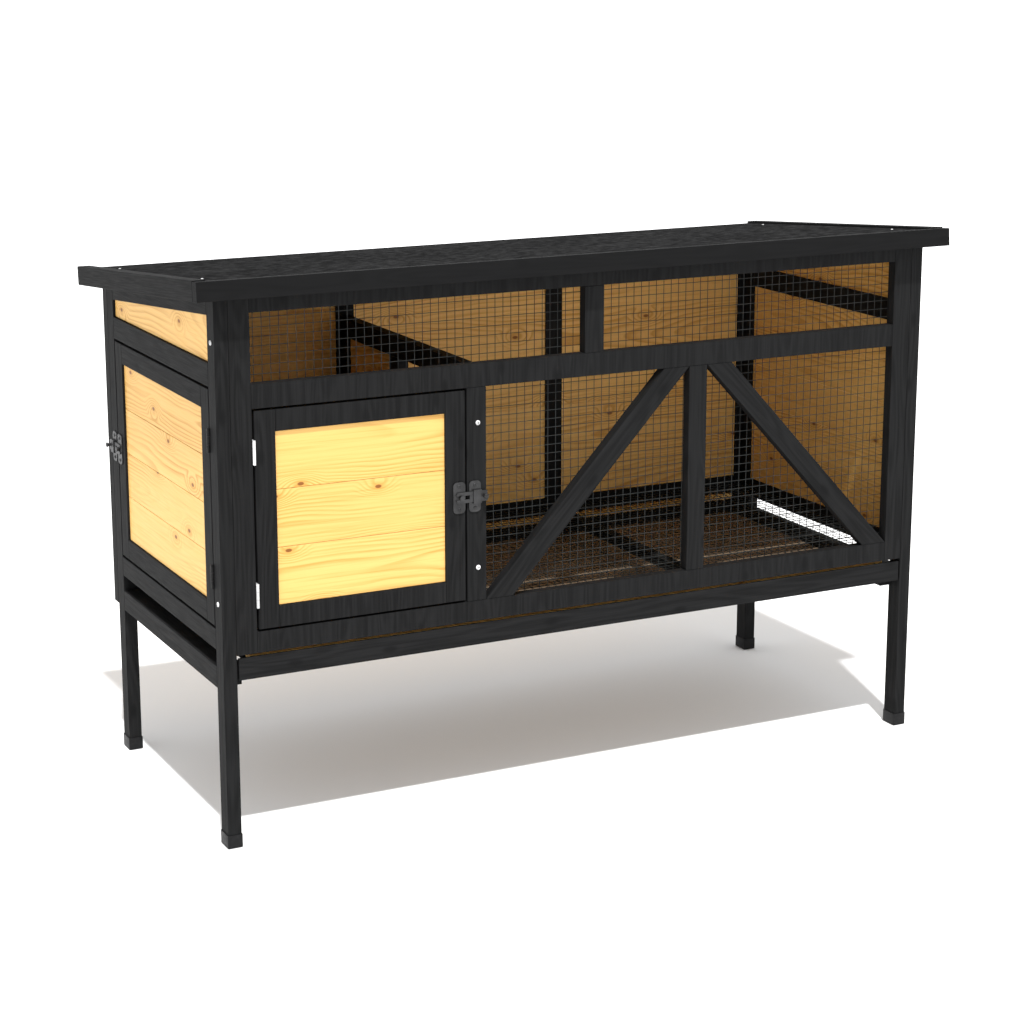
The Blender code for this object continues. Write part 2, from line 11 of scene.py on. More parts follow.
import bmesh
import bpy
from bpy.props import FloatProperty, FloatVectorProperty, PointerProperty
from mathutils import Matrix, Vector


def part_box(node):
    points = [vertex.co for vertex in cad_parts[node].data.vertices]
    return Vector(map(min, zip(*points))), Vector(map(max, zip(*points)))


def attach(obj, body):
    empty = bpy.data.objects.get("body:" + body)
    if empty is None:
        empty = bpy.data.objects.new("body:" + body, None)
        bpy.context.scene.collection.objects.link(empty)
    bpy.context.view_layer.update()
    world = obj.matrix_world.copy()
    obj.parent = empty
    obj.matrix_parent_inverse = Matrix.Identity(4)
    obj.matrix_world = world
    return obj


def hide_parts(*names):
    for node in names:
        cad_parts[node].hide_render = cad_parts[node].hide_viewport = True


bl_info = {
    "name": "Rabbit Hutch",
    "version": (1, 0, 0),
    "blender": (4, 5, 0),
    "location": "3D View > Sidebar > Hutch",
    "description": "Builds the timber, mesh, roof and fittings of a rabbit hutch",
    "category": "Add Mesh",
}

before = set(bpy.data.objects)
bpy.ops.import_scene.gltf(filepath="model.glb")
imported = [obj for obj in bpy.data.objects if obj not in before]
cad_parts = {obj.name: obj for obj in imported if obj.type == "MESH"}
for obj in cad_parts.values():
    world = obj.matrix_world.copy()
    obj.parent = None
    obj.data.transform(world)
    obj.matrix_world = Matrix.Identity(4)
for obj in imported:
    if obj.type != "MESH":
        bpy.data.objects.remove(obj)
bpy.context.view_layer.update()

MM = 0.001
X, Y, Z = Vector((1, 0, 0)), Vector((0, 1, 0)), Vector((0, 0, 1))

# Fall of the roof from front to back, and the line that it turns about
PITCH = math.radians(5.38)
ROOF_MIDDLE_Y = sum(corner.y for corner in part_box("roof_deck")) / 2

# Width of a strip, half of the seam between two boards, and the air round a fitted piece
STRIP = 30.5 * MM
SEAM = 0.32 * MM
AIR = 0.3 * MM

# Eased edges that are finer than those of the strips
BOARD_EDGE = 0.35 * MM
LEDGE_EDGE = 0.4 * MM
THIN_EDGE = 0.2 * MM


def size(name, text, millimetres):
    """A length property whose default is given in millimetres."""
    return FloatProperty(name=name, description=text, default=millimetres * MM,
                         min=0.0, precision=5, unit="LENGTH")


def tint(name, text, red, green, blue):
    """A colour property."""
    return FloatVectorProperty(name=name, description=text, subtype="COLOR", size=3,
                               min=0.0, max=1.0, default=(red, green, blue))


def share(name, text, value, most=1.0):
    """A plain number from 0 to most."""
    return FloatProperty(name=name, description=text, default=value, min=0.0, max=most)


class HutchTimber(bpy.types.PropertyGroup):
    """Sizes and colours of the strips and boards."""

    edge: size("Eased edge", "Width of the eased edges of the strips", 0.7)
    joint: size("Joint", "Gap at a butt joint between two strips", 0.25)
    stain: tint("Stain", "Black stain on the strips", 0.0079, 0.0080, 0.0082)
    stain_worn: tint("Thin stain", "Stain where the grain takes less of it",
                     0.0169, 0.0170, 0.0174)
    fascia: tint("Fascia", "Black paint on the roof's edge boards",
                 0.0104, 0.0104, 0.0107)
    pine: tint("Pine", "Pale early wood", 0.84, 0.525, 0.172)
    late_wood: tint("Late wood", "Orange growth lines", 0.60, 0.305, 0.066)
    knot: tint("Knot", "Heart of a knot", 0.21, 0.07, 0.014)
    ring: size("Ring", "Distance between growth lines", 5.6)


class HutchWire(bpy.types.PropertyGroup):
    """The welded mesh."""

    pitch: size("Pitch", "Distance between neighbouring wires", 12.7)
    diameter: size("Diameter", "Diameter of each wire", 1.0)
    colour: tint("Wire", "Dark coated wire", 0.026, 0.029, 0.029)


class HutchRoof(bpy.types.PropertyGroup):
    """The roof covering."""

    felt: tint("Felt", "Bitumen between the mineral grit", 0.0105, 0.0105, 0.0107)
    grit: tint("Grit", "Mineral grit", 0.038, 0.038, 0.0385)


class HutchMetal(bpy.types.PropertyGroup):
    """Latches, hinges, screws and feet."""

    latch: tint("Latch", "Grey zinc of the latches", 0.050, 0.050, 0.051)
    white: tint("White", "White hinges and screws", 0.86, 0.86, 0.86)
    foot: tint("Foot", "Black plastic of the feet", 0.008, 0.008, 0.0085)
    reach: size("Fork", "How far the fork reaches over the door's plate", 17.0)


class HutchStudio(bpy.types.PropertyGroup):
    """Floor, light and camera."""

    floor: share("Floor", "Paleness of the floor", 0.93)
    sky: share("Sky", "Strength of the even light from all round", 0.89, 10.0)
    sun: share("Key", "Strength of the key light", 1.28, 20.0)
    softness: FloatProperty(name="Softness", description="Width of the key light",
                            default=math.radians(1.8), subtype="ANGLE")
    lens: FloatProperty(name="Lens", description="Focal length on a 36 mm sensor",
                        default=81.5, min=1.0, unit="CAMERA")


GROUPS = {"hutch_timber": HutchTimber, "hutch_wire": HutchWire, "hutch_roof": HutchRoof,
          "hutch_metal": HutchMetal, "hutch_studio": HutchStudio}


# Materials


class Finish:
    """A material under construction."""

    def __init__(self, name, specular, metallic=0.0):
        self.material = bpy.data.materials.new(name)
        self.material.use_nodes = True
        self.tree = self.material.node_tree
        self.surface = self.tree.nodes["Principled BSDF"]
        self.surface.inputs["Specular IOR Level"].default_value = specular
        self.surface.inputs["Metallic"].default_value = metallic

    def feed(self, socket, value):
        """Links or sets a socket."""
        if isinstance(value, bpy.types.NodeSocket):
            self.tree.links.new(value, socket)
        elif isinstance(value, (int, float)):
            socket.default_value = value
        elif socket.type == "RGBA":
            socket.default_value = (*value, 1.0)
        else:
            socket.default_value = tuple(value)

    def node(self, kind, inputs=(), **settings):
        """A new node, with its settings and what goes into its sockets."""
        made = self.tree.nodes.new("ShaderNode" + kind)
        for key, value in settings.items():
            setattr(made, key, value)
        for key, value in dict(inputs).items():
            self.feed(made.inputs[key], value)
        return made

    def lay(self):
        """The place in the piece of wood, from its own attribute."""
        return self.node("Attribute", attribute_name="lay").outputs["Vector"]

    def place(self):
        """The place on the object."""
        return self.node("TexCoord").outputs["Object"]

    def stretch(self, vector, factors):
        return self.node("VectorMath", {0: vector, 1: factors},
                         operation="MULTIPLY").outputs[0]

    def math(self, operation, first, second=0.0, clamp=False):
        return self.node("Math", {0: first, 1: second}, operation=operation,
                         use_clamp=clamp).outputs[0]

    def noise(self, vector, scale=1.0, detail=2.0, roughness=0.5):
        return self.node("TexNoise", {"Vector": vector, "Scale": scale, "Detail": detail,
                                      "Roughness": roughness}).outputs["Fac"]

    def cells(self, vector, scale):
        """Rounded grains: the distance from the middle of each."""
        return self.node("TexVoronoi",
                         {"Vector": vector, "Scale": scale}).outputs["Distance"]

    def knots(self, lay, density, half_size):
        """How far a point is from the nearest knot, in that knot's half-lengths."""
        spread = (density[0], density[1], 0.0)
        found = self.node("TexVoronoi", {"Vector": self.stretch(lay, spread),
                                         "Scale": 1.0}, voronoi_dimensions="2D")
        centre = self.stretch(found.outputs["Position"],
                              (1 / density[0], 1 / density[1], 0.0))
        away = self.node("VectorMath", {0: self.stretch(lay, (1, 1, 0)), 1: centre},
                         operation="SUBTRACT").outputs[0]
        away = self.stretch(away, (1 / half_size[0], 1 / half_size[1], 0.0))
        return self.node("VectorMath", {0: away}, operation="LENGTH").outputs["Value"]

    def remap(self, value, low, high, to_low=0.0, to_high=1.0):
        """Eases a value from one range to another and holds it at the ends."""
        return self.node("MapRange", {"Value": value, "From Min": low, "From Max": high,
                                      "To Min": to_low, "To Max": to_high},
                         interpolation_type="SMOOTHSTEP").outputs["Result"]

    def mix(self, share_of_second, first, second):
        """Two colours mixed. The node's colour sockets are told apart by number."""
        made = self.node("Mix", data_type="RGBA")
        for index, value in ((0, share_of_second), (6, first), (7, second)):
            self.feed(made.inputs[index], value)
        return made.outputs[2]

    def blend_of(self, *parts):
        """The sum of (value, weight) pairs."""
        total = None
        for value, weight in parts:
            part = self.math("MULTIPLY", value, weight)
            total = part if total is None else self.math("ADD", total, part)
        return total

    def colour(self, socket):
        self.feed(self.surface.inputs["Base Color"], socket)

    def rough(self, socket):
        self.feed(self.surface.inputs["Roughness"], socket)

    def bump(self, height, depth, strength=1.0):
        made = self.node("Bump", {"Height": height, "Distance": depth,
                                  "Strength": strength})
        self.feed(self.surface.inputs["Normal"], made.outputs["Normal"])


def stained_wood(name, stain, worn):
    """Black stain over softwood: fine pores, faint figure and small dark knots."""
    made = Finish(name, specular=0.04)
    lay = made.lay()
    pores = made.noise(made.stretch(lay, (20, 1300, 1300)), detail=3, roughness=0.6)
    streaks = made.noise(made.stretch(lay, (3.0, 260, 260)), detail=2)
    wander = made.noise(made.stretch(lay, (3.2, 30, 30)), detail=1)
    waves = made.math("SINE", made.math("MULTIPLY", wander, 60.0))
    figure = made.remap(waves, -1.0, 1.0)
    light = made.blend_of((pores, 0.50), (streaks, 0.38), (figure, 0.12))
    knots = made.knots(lay, (4.2, 24.0), (7 * MM, 3 * MM))
    light = made.math("MULTIPLY", made.remap(light, 0.26, 0.74),
                      made.remap(knots, 0.7, 2.4, 0.25, 1.0))
    made.colour(made.mix(light, stain, worn))
    made.rough(made.remap(pores, 0.3, 0.7, 0.50, 0.70))
    made.bump(made.math("ADD", pores, made.math("MULTIPLY", figure, 0.25)),
              0.14 * MM, 0.6)
    return made.material


def knotty_pine(name, timber, warmth=0.0):
    """Flat-sawn pine: growth lines round a wandering pith, with knots and fine fibre."""
    made = Finish(name, specular=0.2)
    lay = made.lay()
    parts = made.node("SeparateXYZ", {0: lay}).outputs
    knots = made.knots(lay, (3.9, 11.6), (5.5 * MM, 2.9 * MM))
    eye = made.remap(knots, 0.6, 7.5, 0.017, 0.0)
    wander = made.noise(made.stretch(lay, (4.0, 15.0, 2.0)), detail=2)
    # Distance from the wandering pith, pushed out round each knot
    across = made.math("ADD", parts[1], made.math("MULTIPLY", wander, 0.036))
    across = made.math("SUBTRACT", across, 0.018)
    taper = made.noise(made.stretch(lay, (1.9, 0.0, 1.0)), detail=0)
    depth = made.math("ADD", made.math("MULTIPLY", taper, 0.100), -0.022)
    depth = made.math("MAXIMUM", depth, 0.004)
    radius = made.math("SQRT", made.math("ADD", made.math("POWER", across, 2.0),
                                         made.math("POWER", depth, 2.0)))
    radius = made.math("ADD", radius, eye)
    # Each ring darkens slowly and ends sharply
    ring = made.math("FRACT", made.math("DIVIDE", radius, timber.ring))
    line = made.math("MULTIPLY", made.remap(ring, 0.30, 0.86),
                     made.remap(ring, 0.88, 0.99, 1.0, 0.0))
    patches = made.noise(made.stretch(lay, (2.4, 11.0, 3.0)), detail=2)
    strength = made.math("ADD", made.remap(patches, 0.38, 0.66, 0.10, 0.90),
                         made.remap(knots, 1.5, 8.0, 0.45, 0.0), clamp=True)
    line = made.math("MULTIPLY", line, strength)
    # Fine fibre, then the slow change of tone from board to board, then the knots
    fibre = made.noise(made.stretch(lay, (20, 1200, 1200)), detail=2)
    hair = made.noise(made.stretch(lay, (5, 330, 330)), detail=2)
    line = made.math("ADD", line, made.remap(fibre, 0.40, 0.8, 0.0, 0.16))
    line = made.math("ADD", line, made.remap(hair, 0.50, 0.78, 0.0, 0.45), clamp=True)
    tone = made.noise(made.stretch(lay, (0.35, 2.5, 5.0)), detail=1)
    pale = made.mix(made.remap(tone, 0.35, 0.68, warmth, 0.22 + warmth), timber.pine,
                    timber.late_wood)
    colour = made.mix(line, pale, timber.late_wood)
    colour = made.mix(made.remap(knots, 0.9, 3.2, 0.65, 0.0), colour, timber.late_wood)
    made.colour(made.mix(made.remap(knots, 0.62, 1.15, 0.92, 0.0), colour, timber.knot))
    made.rough(made.remap(fibre, 0.3, 0.7, 0.42, 0.56))
    made.bump(made.math("ADD", fibre, made.math("MULTIPLY", line, 0.6)), 0.10 * MM, 0.6)
    return made.material


def hardboard(name):
    """The tray's brown bottom."""
    made = Finish(name, specular=0.3)
    place = made.place()
    fleck = made.noise(place, 900.0, 3, 0.6)
    cloud = made.noise(place, 22.0, 3)
    both = made.blend_of((fleck, 0.85), (cloud, 0.15))
    made.colour(made.mix(made.remap(both, 0.35, 0.65), (0.20, 0.145, 0.095),
                         (0.31, 0.24, 0.17)))
    made.rough(made.remap(fleck, 0.3, 0.7, 0.5, 0.7))
    made.bump(fleck, 0.08 * MM, 0.5)
    return made.material


def mineral_felt(name, roof):
    """Roofing felt: crowded grit over bitumen, with the mottle it is laid with."""
    made = Finish(name, specular=0.0)
    place = made.place()
    grains = made.cells(place, 620.0)
    specks = made.noise(place, 430.0, 3, 0.7)
    mottle = made.noise(made.stretch(place, (1.0, 2.1, 1.0)), 62.0, 4, 0.65)
    cloud = made.noise(place, 7.0, 2)
    light = made.blend_of((mottle, 0.72), (specks, 0.20), (cloud, 0.08))
    made.colour(made.mix(made.remap(light, 0.43, 0.63), roof.felt, roof.grit))
    made.rough(made.remap(specks, 0.3, 0.7, 0.78, 0.98))
    made.bump(made.math("SUBTRACT", made.math("MULTIPLY", mottle, 0.8), grains),
              0.45 * MM, 0.8)
    return made.material


def worn_metal(name, colour, roughness, metallic, grain=500.0, gloss=0.4):
    """Plate or wire whose finish varies a little in tone and gloss."""
    made = Finish(name, metallic=metallic, specular=gloss)
    place = made.place()
    fine = made.noise(place, grain, 3, 0.6)
    cloud = made.noise(place, grain * 0.09, 2)
    dark = tuple(0.62 * part for part in colour)
    made.colour(made.mix(made.remap(cloud, 0.32, 0.68), dark, tuple(colour)))
    made.rough(made.remap(fine, 0.3, 0.7, roughness - 0.09, roughness + 0.12))
    made.bump(fine, 0.05 * MM, 0.5)
    return made.material


def moulded_plastic(name, colour):
    made = Finish(name, specular=0.14)
    place = made.place()
    spark = made.cells(place, 1500.0)
    scuff = made.noise(place, 160.0, 4, 0.65)
    made.colour(made.mix(made.remap(scuff, 0.45, 0.75), tuple(colour),
                         tuple(2.1 * part for part in colour)))
    made.rough(made.remap(scuff, 0.3, 0.7, 0.38, 0.56))
    made.bump(spark, 0.05 * MM, 0.5)
    return made.material


def studio_floor(name, paleness):
    made = Finish(name, specular=0.05)
    cloud = made.noise(made.place(), 1.1, 2)
    low, high = (paleness - 0.01,) * 3, (paleness,) * 3
    made.colour(made.mix(made.remap(cloud, 0.3, 0.7), low, high))
    made.rough(made.remap(cloud, 0.3, 0.7, 0.85, 0.95))
    return made.material


MAKERS = {
    "black stain": lambda s: stained_wood("black_stain", tuple(s.hutch_timber.stain),
                                          tuple(s.hutch_timber.stain_worn)),
    "fascia": lambda s: stained_wood("black_fascia", tuple(s.hutch_timber.stain),
                                     tuple(s.hutch_timber.fascia)),
    "pine": lambda s: knotty_pine("pine", s.hutch_timber),
    "deck": lambda s: knotty_pine("deck_pine", s.hutch_timber, 0.35),
    "hardboard": lambda s: hardboard("hardboard"),
    "felt": lambda s: mineral_felt("mineral_felt", s.hutch_roof),
    "wire": lambda s: worn_metal("coated_wire", s.hutch_wire.colour, 0.45, 0.2, 900.0,
                                 gloss=0.3),
    "latch": lambda s: worn_metal("grey_zinc", s.hutch_metal.latch, 0.42, 0.65),
    "white": lambda s: worn_metal("white_paint", s.hutch_metal.white, 0.36, 0.0, 300.0),
    "black paint": lambda s: worn_metal("black_paint", (0.016, 0.016, 0.016), 0.42, 0.0,
                                        gloss=0.12),
    # Painted shade: the dark colour of the cross in each screw head stands for the shade
    # inside a recess
    "recess_shade": lambda s: worn_metal("screw_recess", (0.012, 0.012, 0.012), 0.6, 0.3),
    "plastic": lambda s: moulded_plastic("black_plastic", s.hutch_metal.foot),
    "floor": lambda s: studio_floor("studio_floor", s.hutch_studio.floor),
}


def material(name):
    """The named finish, made the first time that it is asked for."""
    key = "hutch " + name
    for made in bpy.data.materials:
        if made.get("hutch_finish") == key:
            return made
    made = MAKERS[name](bpy.context.scene)
    made["hutch_finish"] = key
    return made


# Building pieces


def finish_piece(name, work, finishes, body, replaced=(), smooth=None):
    """Turns a bmesh into a piece that rides on a body and stands for solid nodes."""
    mesh = bpy.data.meshes.new(name)
    work.to_mesh(mesh)
    work.free()
    piece = bpy.data.objects.new(name, mesh)
    bpy.context.scene.collection.objects.link(piece)
    for finish in finishes:
        mesh.materials.append(material(finish))
    if smooth:
        mesh.shade_smooth()
        mesh.set_sharp_from_angle(angle=math.radians(smooth))
    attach(piece, body)
    if replaced:
        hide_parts(*replaced)
    return piece


def repaint(node, finish):
    """Gives a solid node that is kept its finish."""
    node.data.materials.clear()
    node.data.materials.append(material(finish))


def ease(work, edges, width, segments=2):
    """Rounds edges."""
    bmesh.ops.bevel(work, geom=edges, offset=width, offset_type="OFFSET",
                    segments=segments, profile=0.5, affect="EDGES", material=-1)


def block(work, low, high, edge=0.0):
    """A block between two corners, with its edges eased where edge is given."""
    made = bmesh.ops.create_cube(work, size=1.0)["verts"]
    low, high = Vector(low), Vector(high)
    bmesh.ops.scale(work, vec=high - low, verts=made)
    bmesh.ops.translate(work, vec=(low + high) / 2, verts=made)
    if edge:
        ease(work, edges_of(made), edge)
    return made


def edges_of(verts):
    """Every edge at some vertices, once."""
    return list(dict.fromkeys(edge for vert in verts for edge in vert.link_edges))


def set_lay(work, verts, grain, face, draw):
    """Writes where each vertex lies along, across and through the wood."""
    layer = work.verts.layers.float_vector["lay"]
    across = grain.cross(face).normalized()
    through = across.cross(grain).normalized()
    middle = sum((vert.co for vert in verts), Vector()) / len(verts)
    start = Vector((draw.uniform(0, 9), draw.uniform(-0.05, 0.05), draw.uniform(0, 9)))
    for vert in verts:
        at = vert.co - middle
        vert[layer] = start + Vector((at.dot(grain), at.dot(across), at.dot(through)))


def plank(work, low, high, grain, face, draw, edge, reshape=None, material_index=0):
    """A straight piece of wood with eased edges.

    face is the direction in which its broad side looks, and reshape moves a vertex.
    """
    made = block(work, low, high)
    if reshape:
        for vert in made:
            vert.co = reshape(vert.co)
    set_lay(work, made, grain, face, draw)
    for vert in made:
        for side in vert.link_faces:
            side.material_index = material_index
    ease(work, edges_of(made), edge)


def new_work():
    """An empty bmesh that carries the lay of the wood."""
    work = bmesh.new()
    work.verts.layers.float_vector.new("lay")
    return work


def axis_span(low, high, x=None, y=None, z=None):
    """The corners of a box, with some of its limits replaced."""
    low, high = Vector(low), Vector(high)
    for index, limits in enumerate((x, y, z)):
        if limits:
            low[index], high[index] = limits
    return low, high


def stand_in(node, work, finishes=("black stain",), body="hutch", ending="_wood"):
    """Turns a bmesh into the piece that stands for one solid node."""
    return finish_piece(node + ending, work, finishes, body, [node])


def timber(node, grain, face, finish="black stain", edge=None, reshape=None, **limits):
    """A single strip or board in the place of a solid node."""
    low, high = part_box(node)
    work = new_work()
    plank(work, *axis_span(low, high, **limits), grain, face, random.Random(node),
          edge or bpy.context.scene.hutch_timber.edge, reshape)
    return stand_in(node, work, [finish])


def framework(node, body, strips, face, extra=None):
    """Several strips joined into one frame, in the place of a solid node."""
    low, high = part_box(node)
    work = new_work()
    draw = random.Random(node + "_wood")
    edge = bpy.context.scene.hutch_timber.edge
    for limits, grain in strips(low, high):
        plank(work, *axis_span(low, high, **limits), grain, face, draw, edge)
    if extra:
        extra(work, low, high, draw, edge)
    return stand_in(node, work, body=body)


def ladder(along, low, high, rails):
    """Limits of a frame's stiles and rails. along is the frame's horizontal axis."""
    gap = bpy.context.scene.hutch_timber.joint
    index = "xyz".index(along)
    left, right = low[index], high[index]
    inner = (left + STRIP + gap, right - STRIP - gap)
    stiles = [({along: (left, left + STRIP)}, Z), ({along: (right - STRIP, right)}, Z)]
    return stiles + [({along: inner, "z": rail}, (X, Y)[index]) for rail in rails]


def upright_grain(strips):
    """The same strips, cut so that their grain stands upright."""
    return [(limits, Z) for limits, _ in strips]


def front_strips(low, high):
    """Stiles, three rails and the short upright of the front."""
    gap = bpy.context.scene.hutch_timber.joint
    foot = low.z
    middle = (foot + 345.3 * MM, foot + 379.2 * MM)
    top = (foot + 477.2 * MM, high.z)
    half = 15.3 * MM
    found = upright_grain(ladder("x", low, high, ((foot, foot + STRIP), middle, top)))
    return found + [({"x": (-half, half), "z": (middle[1] + gap, top[0] - gap)}, Z)]


def door_strips(along):
    """Two stiles and two rails. The front door's grain stands upright."""
    def strips(low, high):
        rails = ((low.z, low.z + STRIP), (high.z - STRIP, high.z))
        found = ladder(along, low, high, rails)
        return upright_grain(found) if along == "x" else found
    return strips


# The rear frame's rail below the boards, measured from its foot
REAR_RAIL = (51.8 * MM, 82.0 * MM)


def rear_strips(low, high):
    """Stiles and three rails of the back."""
    foot = low.z
    return ladder("x", low, high, ((foot, foot + STRIP),
                                   (foot + REAR_RAIL[0], foot + REAR_RAIL[1]),
                                   (high.z - STRIP, high.z)))


def rear_extra(work, low, high, draw, edge):
    """Closes the back below the floor, and adds the two laths inside the boards."""
    inner = (low.x + STRIP + AIR, high.x - STRIP - AIR)
    closed = (low.z + STRIP + AIR, low.z + REAR_RAIL[0] - AIR)
    plank(work, *axis_span(low, high, x=inner, z=closed), X, Y, draw, edge)
    thickness, right_lath = 3.7 * MM, 186.5 * MM
    left_lath = sum(corner.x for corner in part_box("front_mullion")) / 2
    for middle in (left_lath, right_lath):
        lath = axis_span(low, high, x=(middle - STRIP / 2, middle + STRIP / 2),
                         y=(low.y, low.y + thickness),
                         z=(low.z + REAR_RAIL[1] + AIR, high.z - STRIP - AIR))
        plank(work, *lath, Z, Y, draw, edge)


def partition_strips(low, high):
    """Posts, sill, head rail and the post beside the doorway."""
    sill, post = low.z + 15 * MM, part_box("partition_boards")[0].y - AIR
    rail = (low.y + STRIP + AIR, high.y - STRIP - AIR)
    return [({"y": (low.y, low.y + STRIP)}, Z), ({"y": (high.y - STRIP, high.y)}, Z),
            ({"y": rail, "z": (low.z, sill)}, Y),
            ({"y": rail, "z": (high.z - STRIP, high.z)}, Y),
            ({"y": (post - STRIP, post), "z": (sill + AIR, high.z - STRIP - AIR)}, Z)]


def boarding(node, body, count, grain, face):
    """Edge-joined boards in the place of a solid node, each its own piece of wood."""
    low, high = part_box(node)
    work = new_work()
    draw = random.Random(node)
    step = (high.z - low.z) / count
    for n in range(count):
        board = axis_span(low, high, z=(low.z + n * step + SEAM,
                                        low.z + (n + 1) * step - SEAM))
        plank(work, *board, grain, face, draw, BOARD_EDGE)
    return stand_in(node, work, ["pine"], body)


def rod(work, start, end, radius, sides=6):
    """A straight wire between two points."""
    start, end = Vector(start), Vector(end)
    way = end - start
    turn = way.to_track_quat("Z", "Y").to_matrix().to_4x4()
    bmesh.ops.create_cone(work, cap_ends=True, segments=sides, radius1=radius,
                          radius2=radius, depth=way.length,
                          matrix=Matrix.Translation((start + end) / 2) @ turn)


def welded_mesh(node, first, second, outward):
    """Two layers of crossing wires, sunk a little into each other where they cross.

    first and second are the numbers of the axes in the sheet.
    """
    wire = bpy.context.scene.hutch_wire
    low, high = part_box(node)
    radius = wire.diameter / 2
    work = bmesh.new()
    middle = (low + high) / 2
    depth, sunk = 3 - first - second, 0.92
    for axis, across, side in ((first, second, -sunk), (second, first, sunk)):
        count = round((high[across] - low[across]) / wire.pitch)
        step = (high[across] - low[across] - wire.diameter) / count
        layer = middle.copy()
        layer[depth] += outward * radius * side
        for n in range(count + 1):
            start, end = layer.copy(), layer.copy()
            start[across] = end[across] = low[across] + radius + n * step
            start[axis], end[axis] = low[axis], high[axis]
            rod(work, start, end, radius)
    return finish_piece(node + "_wires", work, ["wire"], "hutch", [node],
                        smooth=50)


def lathe(work, profile, matrix, sides=20):
    """Turns a profile of (radius, height) pairs round local Z and closes its ends."""
    rings = []
    for radius, height in profile:
        ring = bmesh.ops.create_circle(work, cap_ends=False, segments=sides,
                                       radius=radius)["verts"]
        bmesh.ops.translate(work, vec=(0, 0, height), verts=ring)
        rings.append(ring)
    made = []
    for lower, upper in zip(rings, rings[1:]):
        edges = [edge for edge in work.edges
                 if all(v in lower for v in edge.verts) or
                 all(v in upper for v in edge.verts)]
        made += bmesh.ops.bridge_loops(work, edges=edges)["faces"]
    for ring in (rings[0], rings[-1]):
        rim = [edge for edge in work.edges if all(v in ring for v in edge.verts)]
        made += bmesh.ops.edgeloop_fill(work, edges=rim)["faces"]
    bmesh.ops.recalc_face_normals(work, faces=made)
    bmesh.ops.transform(work, matrix=matrix, verts=[v for ring in rings for v in ring])


def towards(point, way):
    """The matrix that stands a turned piece on a point, looking a given way."""
    turn = Vector(way).to_track_quat("Z", "Y").to_matrix().to_4x4()
    return Matrix.Translation(point) @ turn


def screw_head(work, point, way, radius):
    """A domed cross-head screw, with a dark cross that is painted shade for its recess.
    """
    place = towards(point, way)
    before = set(work.faces)
    dome = [(radius, -0.4 * MM), (radius, radius * 0.10), (radius * 0.92, radius * 0.28),
            (radius * 0.70, radius * 0.44), (radius * 0.38, radius * 0.53)]
    lathe(work, dome, place, 18)
    for face in set(work.faces) - before:
        face.material_index = 0
    # Painted shade: dark blocks set into the dome, not cut into it, stand for the shade
    # inside the cross recess
    before = set(work.faces)
    for turn in (0.0, math.pi / 2):
        arm = bmesh.ops.create_cube(work, size=1.0)["verts"]
        bmesh.ops.scale(work, vec=(radius, radius * 0.17, radius * 0.2), verts=arm)
        bmesh.ops.translate(work, vec=(0, 0, radius * 0.45), verts=arm)
        bmesh.ops.rotate(work, matrix=Matrix.Rotation(turn, 3, "Z"), verts=arm)
        bmesh.ops.transform(work, matrix=place, verts=arm)
    for face in set(work.faces) - before:
        face.material_index = 1


# Operators


